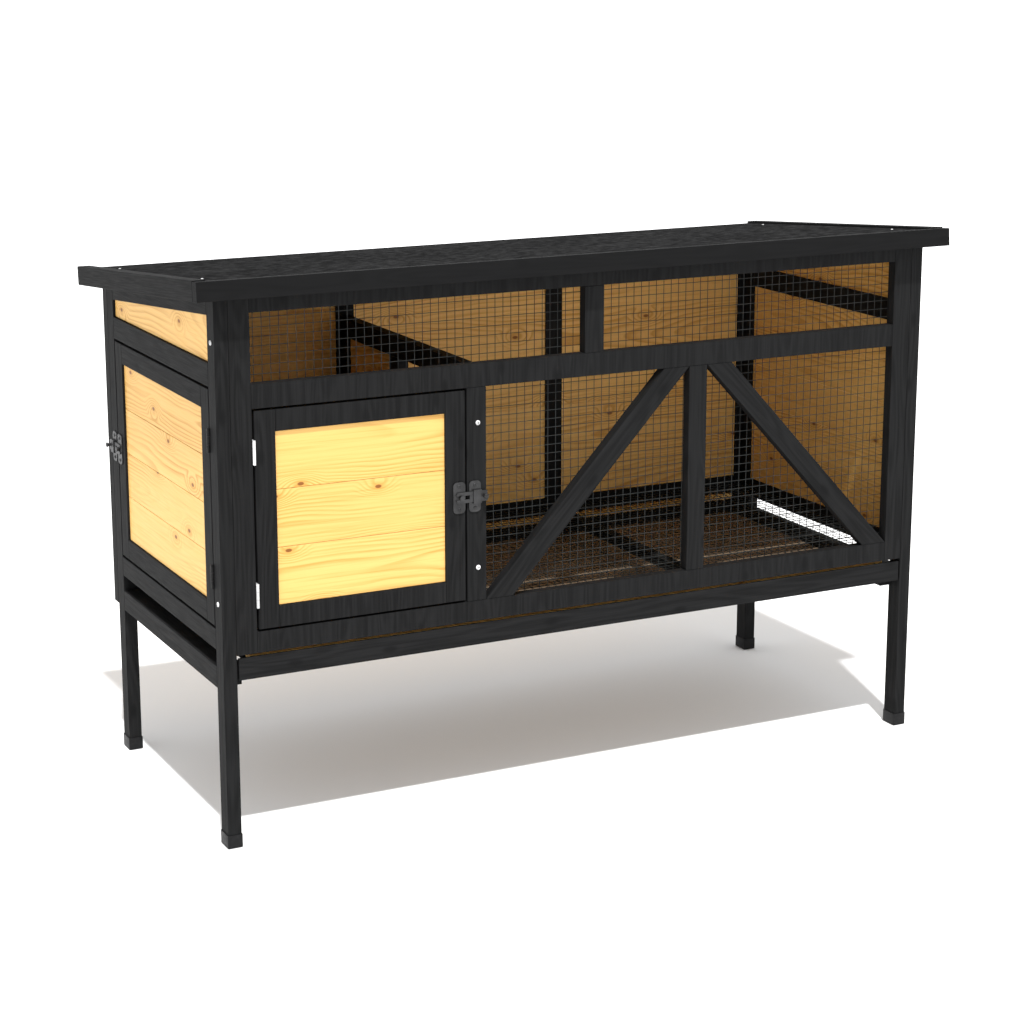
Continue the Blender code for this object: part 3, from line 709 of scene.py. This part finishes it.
class HUTCH_OT_carcass(bpy.types.Operator):
    """Legs, front, sides, back and partition in black stained strips"""

    bl_idname = "hutch.carcass"
    bl_label = "Carcass"

    def execute(self, context):
        for end in ("front", "rear"):
            for side in ("left", "right"):
                timber(f"leg_{end}_{side}", Z, Y)
        framework("front_frame", "hutch", front_strips, Y)
        for node in ("front_mullion", "front_upright"):
            timber(node, Z, Y)
        self.brace("front_brace_left", 1)
        self.brace("front_brace_right", -1)
        for side in ("left", "right"):
            for rail in ("middle", "bottom"):
                timber(f"{side}_{rail}_rail", Y, X)
            self.top_rail(f"{side}_top_rail")
        framework("rear_frame", "hutch", rear_strips, Y, rear_extra)
        framework("partition_frame", "hutch", partition_strips, X)
        timber("floor_bearer", Y, Z)
        timber("rear_lower_rail", X, Z)
        timber("left_lower_rail", Y, X)
        self.right_lower_rail()
        self.front_lower_rail()
        return {"FINISHED"}

    def brace(self, node, way):
        """A strip with level ends that leans to the right, or to the left for -1."""
        low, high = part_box(node)
        foot = 43.0 * MM
        lean = way * (high.x - low.x - foot) / (high.z - low.z)
        start = low.x if way > 0 else high.x - foot
        timber(node, Vector((lean, 0, 1)).normalized(), Y, x=(start, start + foot),
               reshape=lambda at: at + X * ((at.z - low.z) * lean))

    def top_rail(self, node):
        """Its upper and lower edges both follow the roof."""
        low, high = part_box(node)
        fall = math.tan(PITCH)
        timber(node, Y, X, z=(low.z + (high.y - low.y) * fall, high.z),
               reshape=lambda at: at - Z * ((at.y - low.y) * fall))

    def front_lower_rail(self):
        """The rebated rail, and the ledge behind it that carries the tray."""
        node, lip, ledge_end = "front_lower_rail", 5.4 * MM, 542 * MM
        low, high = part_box(node)
        back_of_frame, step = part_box("front_frame")[1].y, low.y + lip
        rebate = (low.z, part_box("floor_ledger_front")[0].z - AIR)
        ledge = (low.z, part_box("tray")[0].z - AIR)
        edge = bpy.context.scene.hutch_timber.edge
        draw = random.Random("lower rail")
        work = new_work()
        plank(work, *axis_span(low, high, y=(low.y, step)), X, Y, draw, edge)
        plank(work, *axis_span(low, high, y=(step, back_of_frame), z=rebate), X, Z, draw,
              THIN_EDGE)
        plank(work, *axis_span(low, high, x=(-ledge_end, ledge_end),
                               y=(back_of_frame + 0.1 * MM, high.y), z=ledge), X, Z,
              draw, edge)
        stand_in(node, work)

    def right_lower_rail(self):
        """The rail, and the ledge that reaches in to the end of the tray."""
        node, half_ledge = "right_lower_rail", 195.5 * MM
        low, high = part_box(node)
        edge = bpy.context.scene.hutch_timber.edge
        draw = random.Random("right lower rail")
        work = new_work()
        inner = -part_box("left_lower_rail")[1].x
        plank(work, *axis_span(low, high, x=(inner, high.x)), Y, X, draw, edge)
        middle = (low.y + high.y) / 2
        plank(work, *axis_span(low, high, x=(low.x, inner - 0.1 * MM),
                               y=(middle - half_ledge, middle + half_ledge)), Y, Z, draw,
              edge)
        stand_in(node, work)


class HUTCH_OT_boarding(bpy.types.Operator):
    """Pine boards of the sides, back and partition, and the floor ledgers"""

    bl_idname = "hutch.boarding"
    bl_label = "Boarding"

    def execute(self, context):
        boarding("right_boards", "hutch", 5, Y, X)
        boarding("rear_boards", "hutch", 5, X, Y)
        boarding("partition_boards", "hutch", 4, Y, X)
        for side in ("left", "right"):
            self.gable(f"{side}_gable_board")
        timber("floor_ledger_rear", X, Y, "pine")
        self.front_ledger()
        return {"FINISHED"}

    def front_ledger(self):
        """The front ledger and its tongue, which shows above the lower rail."""
        node, thickness = "floor_ledger_front", 5.6 * MM
        low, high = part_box(node)
        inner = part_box("front_frame")[1].y + AIR
        draw = random.Random("front ledger")
        work = new_work()
        plank(work, *axis_span(low, high, y=(inner, high.y)), X, Y, draw, LEDGE_EDGE)
        tongue = axis_span(low, high, x=(low.x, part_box("tray")[1].x),
                           y=(low.y, inner - 0.1 * MM), z=(low.z, low.z + thickness))
        plank(work, *tongue, X, Z, draw, 0.3 * MM)
        stand_in(node, work, ["pine"])

    def gable(self, node):
        """Its lower edge is level and its upper edge follows the roof."""
        low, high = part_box(node)
        middle = (low.z + high.z) / 2

        def follow(at):
            fall = (at.y - low.y) * math.tan(PITCH) if at.z > middle else 0.0
            return at - Z * fall

        timber(node, Y, X, "pine", LEDGE_EDGE, follow)


class HUTCH_OT_doors(bpy.types.Operator):
    """The two framed and boarded doors with their hinges"""

    bl_idname = "hutch.doors"
    bl_label = "Doors"

    def execute(self, context):
        for name, along, face, count in (("front_door", "x", Y, 3),
                                         ("side_door", "y", X, 4)):
            framework(name + "_frame", name, door_strips(along), face)
            grain = X if along == "x" else Y
            boarding(name + "_boards", name, count, grain, face)
            finish = "white" if name == "front_door" else "black paint"
            for place in ("lower", "upper"):
                for half in ("fixed", "leaf"):
                    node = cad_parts[f"{name}_hinge_{place}_{half}"]
                    repaint(node, finish)
        return {"FINISHED"}


class HUTCH_OT_mesh(bpy.types.Operator):
    """Welded wire mesh in the front and the floor"""

    bl_idname = "hutch.mesh"
    bl_label = "Wire mesh"

    def execute(self, context):
        welded_mesh("mesh_front_upper", 0, 2, 1)
        welded_mesh("mesh_front_lower", 0, 2, 1)
        welded_mesh("mesh_floor", 0, 1, -1)
        return {"FINISHED"}


class HUTCH_OT_roof(bpy.types.Operator):
    """Deck, felt and fascia boards"""

    bl_idname = "hutch.roof"
    bl_label = "Roof"

    def execute(self, context):
        for side in ("left", "right"):
            self.sloped(f"fascia_{side}", Y, X, "fascia")
        self.sloped("fascia_front", X, Y, "fascia")
        self.sloped("roof_deck", X, Z, "deck")
        self.sloped("roof_felt", X, Z, "felt")
        return {"FINISHED"}

    def sloped(self, node, grain, face, finish):
        """A roof piece, made level in the roof's own axes and then tilted."""
        turn = (Matrix.Translation((0, ROOF_MIDDLE_Y, 0)) @
                Matrix.Rotation(-PITCH, 4, "X"))
        back = turn.inverted()
        places = [back @ vert.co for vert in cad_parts[node].data.vertices]
        low = Vector(min(place[i] for place in places) for i in range(3))
        high = Vector(max(place[i] for place in places) for i in range(3))
        work = new_work()
        edge = 0.3 * MM if finish == "felt" else bpy.context.scene.hutch_timber.edge
        plank(work, low, high, grain, face, random.Random(node), edge)
        bmesh.ops.transform(work, matrix=turn, verts=work.verts)
        stand_in(node, work, [finish], ending="_cover")


class HUTCH_OT_tray(bpy.types.Operator):
    """The pull-out tray: a black rim round a brown bottom"""

    bl_idname = "hutch.tray"
    bl_label = "Tray"

    def execute(self, context):
        low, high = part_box("tray")
        edge = context.scene.hutch_timber.edge
        wall, bottom, gap = 10 * MM, 3 * MM, context.scene.hutch_timber.joint
        draw = random.Random("tray")
        work = new_work()
        for x in ((low.x, low.x + wall), (high.x - wall, high.x)):
            plank(work, *axis_span(low, high, x=x), Y, X, draw, edge)
        inner = (low.x + wall + gap, high.x - wall - gap)
        for y in ((low.y, low.y + wall), (high.y - wall, high.y)):
            plank(work, *axis_span(low, high, x=inner, y=y), X, Y, draw, edge)
        inside = (low.y + wall + gap, high.y - wall - gap)
        panel = axis_span(low, high, x=inner, y=inside, z=(low.z, low.z + bottom))
        plank(work, *panel, X, Z, draw, THIN_EDGE, material_index=1)
        stand_in("tray", work, ["black stain", "hardboard"], "tray")
        return {"FINISHED"}


class HUTCH_OT_latches(bpy.types.Operator):
    """Plates, screws and forked bolts of the two slide latches"""

    bl_idname = "hutch.latches"
    bl_label = "Latches"

    # The turned pull knob: radius and height above the bolt, in millimetres
    KNOB = ((2.6, -0.4), (2.5, 4.2), (3.4, 4.7), (3.8, 5.4), (3.7, 6.6), (3.1, 7.2),
            (1.6, 7.4))

    def execute(self, context):
        for prefix, along, outward in (("front", X, -Y), ("side", Y, -X)):
            for part in ("stud", "guide"):
                repaint(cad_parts[f"{prefix}_latch_{part}"], "latch")
            place = self.local(prefix, along, outward)
            self.bolt(prefix, place)
            self.screws(prefix, place)
        return {"FINISHED"}

    def local(self, prefix, along, outward):
        """The latch's own axes: along its bolt, out of the wood, and up."""
        low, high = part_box(f"{prefix}_latch_bolt")
        index = 0 if along == X else 1
        depth = 1 - index
        origin = (low + high) / 2
        origin[index] = low[index]
        origin[depth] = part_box(f"{prefix}_latch_guide")[1][depth] + AIR
        turn = Matrix((along, outward, Z)).transposed().to_4x4()
        return Matrix.Translation(origin) @ turn

    def bolt(self, prefix, place):
        """The bolt with its fork round the stud and a turned pull knob."""
        reach = bpy.context.scene.hutch_metal.reach
        work = bmesh.new()
        half_width, half_slot, throat, tail = 8.0 * MM, 2.9 * MM, 4.5 * MM, 32.4 * MM
        back, front, tip_radius, knob_at = 2.0 * MM, 3.6 * MM, 4.2 * MM, 27.6 * MM
        for sign in (-1, 1):
            z = sorted((sign * half_slot, sign * half_width))
            arm = block(work, (-reach, back, z[0]), (throat, front, z[1]))
            tip = [edge for edge in edges_of(arm)
                   if all(v.co.x < 0 and abs(v.co.z) > half_slot + MM
                          for v in edge.verts)]
            ease(work, tip, tip_radius, 6)
        block(work, (throat - 0.4 * MM, back, -half_width), (tail, front, half_width),
              0.35 * MM)
        lathe(work, [(radius * MM, height * MM) for radius, height in self.KNOB],
              towards((knob_at, front, 0), Y))
        bmesh.ops.transform(work, matrix=place, verts=work.verts)
        bmesh.ops.recalc_face_normals(work, faces=work.faces)
        finish_piece(f"{prefix}_latch_fork", work, ["latch"], f"{prefix}_bolt",
                     [f"{prefix}_latch_bolt"], smooth=40)

    def screws(self, prefix, place):
        """A small screw in each rounded end of the two plates."""
        way = place.to_3x3() @ Y
        seat, from_middle, radius = 1.6 * MM, 17.0 * MM, 2.6 * MM
        for part, body, at in (("stud", f"{prefix}_door", -11.6 * MM),
                               ("guide", "hutch", 13.2 * MM)):
            work = bmesh.new()
            for z in (-from_middle, from_middle):
                screw_head(work, place @ Vector((at, seat, z)), way, radius)
            finish_piece(f"{prefix}_latch_{part}_screws", work, ["latch", "recess_shade"],
                         body, smooth=40)


class HUTCH_OT_screws(bpy.types.Operator):
    """The white screws that show in the mullion, the front left leg and the roof"""

    bl_idname = "hutch.screws"
    bl_label = "Screws"

    # Radius of the heads in the wood and in the roof
    WOOD_HEAD, ROOF_HEAD = 3.6 * MM, 1.9 * MM
    # Heights in the mullion and the leg, and places from the middle of the roof
    MULLION_HEIGHTS = (574.3 * MM, 360.9 * MM)
    LEG_HEIGHTS = (719.0 * MM, 354.0 * MM)
    ROOF_X, ROOF_Y = (-569 * MM, 569 * MM), (-179 * MM, 190 * MM)

    def execute(self, context):
        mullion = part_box("front_mullion")
        middle = (mullion[0].x + mullion[1].x) / 2 + 2 * MM
        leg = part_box("leg_front_left")[0]
        places = [((middle, mullion[0].y, z), -Y) for z in self.MULLION_HEIGHTS]
        places += [((leg.x, leg.y + 14 * MM, z), -X) for z in self.LEG_HEIGHTS]
        self.heads("carcass_screws", places, self.WOOD_HEAD)

        low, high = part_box("roof_felt")
        top = (low.z + high.z) / 2 + 0.9 * MM
        normal = Vector((0, math.sin(PITCH), math.cos(PITCH)))
        places = [((x, y, top - (y - ROOF_MIDDLE_Y) * math.tan(PITCH)), normal)
                  for x in self.ROOF_X for y in self.ROOF_Y]
        self.heads("roof_screws", places, self.ROOF_HEAD)
        return {"FINISHED"}

    def heads(self, name, places, radius):
        """White screw heads at some points, each looking its own way."""
        work = bmesh.new()
        for point, way in places:
            screw_head(work, point, way, radius)
        finish_piece(name, work, ["white", "recess_shade"], "hutch", smooth=40)


class HUTCH_OT_feet(bpy.types.Operator):
    """The plastic cap on the end of each leg"""

    bl_idname = "hutch.feet"
    bl_label = "Feet"

    def execute(self, context):
        for end in ("front", "rear"):
            for side in ("left", "right"):
                self.cap(f"foot_cap_{end}_{side}")
        return {"FINISHED"}

    def cap(self, node):
        """A rounded block, hollowed from its top down to a thin sole."""
        low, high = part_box(node)
        round_edge, wall, thin_sole = 1.6 * MM, 0.85 * MM, 1.1 * MM
        work = bmesh.new()
        block(work, low, high)
        upright = [edge for edge in work.edges
                   if abs(edge.verts[0].co.z - edge.verts[1].co.z) > MM]
        sole = [edge for edge in work.edges if max(v.co.z for v in edge.verts) < MM]
        ease(work, upright + sole, round_edge, 4)
        top = [face for face in work.faces if face.normal.z > 0.99]
        bmesh.ops.inset_region(work, faces=top, thickness=wall, use_even_offset=True)
        sunk = bmesh.ops.extrude_face_region(work, geom=top)
        verts = [v for v in sunk["geom"] if isinstance(v, bmesh.types.BMVert)]
        bmesh.ops.delete(work, geom=top, context="FACES")
        bmesh.ops.translate(work, vec=(0, 0, low.z - high.z + thin_sole), verts=verts)
        bmesh.ops.recalc_face_normals(work, faces=work.faces)
        finish_piece(node + "_moulded", work, ["plastic"], "hutch",
                     [node], smooth=40)


class HUTCH_OT_stage(bpy.types.Operator):
    """Pale floor, even studio light and the camera"""

    bl_idname = "hutch.stage"
    bl_label = "Stage"

    # Half width of the floor, and how far it lies below the feet
    FLOOR, DROP = 40.0, 0.5 * MM
    # The way in which the key light shines
    KEY_WAY = Vector((0.138, 0.44, -1.0))
    # The camera: its eye point, how far it looks to the right and up, and its shift
    EYE = (-1.602, -3.1453, 1.270)
    TURN, TILT, SHIFT = math.radians(26.87), math.radians(-13.13), -0.05

    def execute(self, context):
        scene = context.scene
        self.floor(scene)
        self.sky(scene)
        self.key(scene)
        self.camera(scene)
        scene.view_settings.view_transform = "Standard"
        return {"FINISHED"}

    def floor(self, scene):
        work = bmesh.new()
        bmesh.ops.create_grid(work, x_segments=1, y_segments=1, size=self.FLOOR)
        bmesh.ops.translate(work, vec=(0, 0, -self.DROP), verts=work.verts)
        mesh = bpy.data.meshes.new("studio_floor")
        work.to_mesh(mesh)
        work.free()
        floor = bpy.data.objects.new("studio_floor", mesh)
        mesh.materials.append(material("floor"))
        scene.collection.objects.link(floor)

    def sky(self, scene):
        world = scene.world or bpy.data.worlds.new("studio")
        scene.world = world
        world.use_nodes = True
        background = world.node_tree.nodes["Background"]
        background.inputs["Color"].default_value = (1.0, 1.0, 1.0, 1.0)
        background.inputs["Strength"].default_value = scene.hutch_studio.sky

    def key(self, scene):
        lamp = bpy.data.lights.new("key", "SUN")
        lamp.energy = scene.hutch_studio.sun * math.pi
        lamp.angle = scene.hutch_studio.softness
        key = bpy.data.objects.new("key", lamp)
        key.rotation_mode = "QUATERNION"
        key.rotation_quaternion = self.KEY_WAY.to_track_quat("-Z", "Y")
        scene.collection.objects.link(key)

    def camera(self, scene):
        data = bpy.data.cameras.new("camera")
        data.sensor_width = 36.0
        data.lens = scene.hutch_studio.lens
        data.shift_y = self.SHIFT
        data.clip_start, data.clip_end = 0.05, 200.0
        camera = bpy.data.objects.new("camera", data)
        level = math.cos(self.TILT)
        forward = Vector((math.sin(self.TURN) * level, math.cos(self.TURN) * level,
                          math.sin(self.TILT)))
        camera.location = self.EYE
        camera.rotation_mode = "QUATERNION"
        camera.rotation_quaternion = forward.to_track_quat("-Z", "Y")
        scene.collection.objects.link(camera)
        scene.camera = camera


class HUTCH_PT_panel(bpy.types.Panel):
    """Settings and steps of the hutch"""

    bl_idname = "HUTCH_PT_panel"
    bl_label = "Rabbit Hutch"
    bl_space_type = "VIEW_3D"
    bl_region_type = "UI"
    bl_category = "Hutch"

    def draw(self, context):
        for name, group in GROUPS.items():
            box = self.layout.box()
            box.label(text=group.__doc__.rstrip("."))
            for key in group.__annotations__:
                box.prop(getattr(context.scene, name), key)
        for step in STEPS:
            self.layout.operator(step.bl_idname)


STEPS = (HUTCH_OT_carcass, HUTCH_OT_boarding, HUTCH_OT_doors, HUTCH_OT_mesh,
         HUTCH_OT_roof, HUTCH_OT_tray, HUTCH_OT_latches, HUTCH_OT_screws, HUTCH_OT_feet,
         HUTCH_OT_stage)


def register():
    for cls in (*GROUPS.values(), *STEPS, HUTCH_PT_panel):
        bpy.utils.register_class(cls)
    for name, group in GROUPS.items():
        setattr(bpy.types.Scene, name, PointerProperty(type=group))


def unregister():
    for name in GROUPS:
        delattr(bpy.types.Scene, name)
    for cls in reversed((*GROUPS.values(), *STEPS, HUTCH_PT_panel)):
        bpy.utils.unregister_class(cls)


def main():
    register()
    bpy.ops.hutch.carcass()
    bpy.ops.hutch.boarding()
    bpy.ops.hutch.doors()
    bpy.ops.hutch.mesh()
    bpy.ops.hutch.roof()
    bpy.ops.hutch.tray()
    bpy.ops.hutch.latches()
    bpy.ops.hutch.screws()
    bpy.ops.hutch.feet()
    bpy.ops.hutch.stage()
    bpy.context.view_layer.update()


if __name__ == "__main__":
    main()
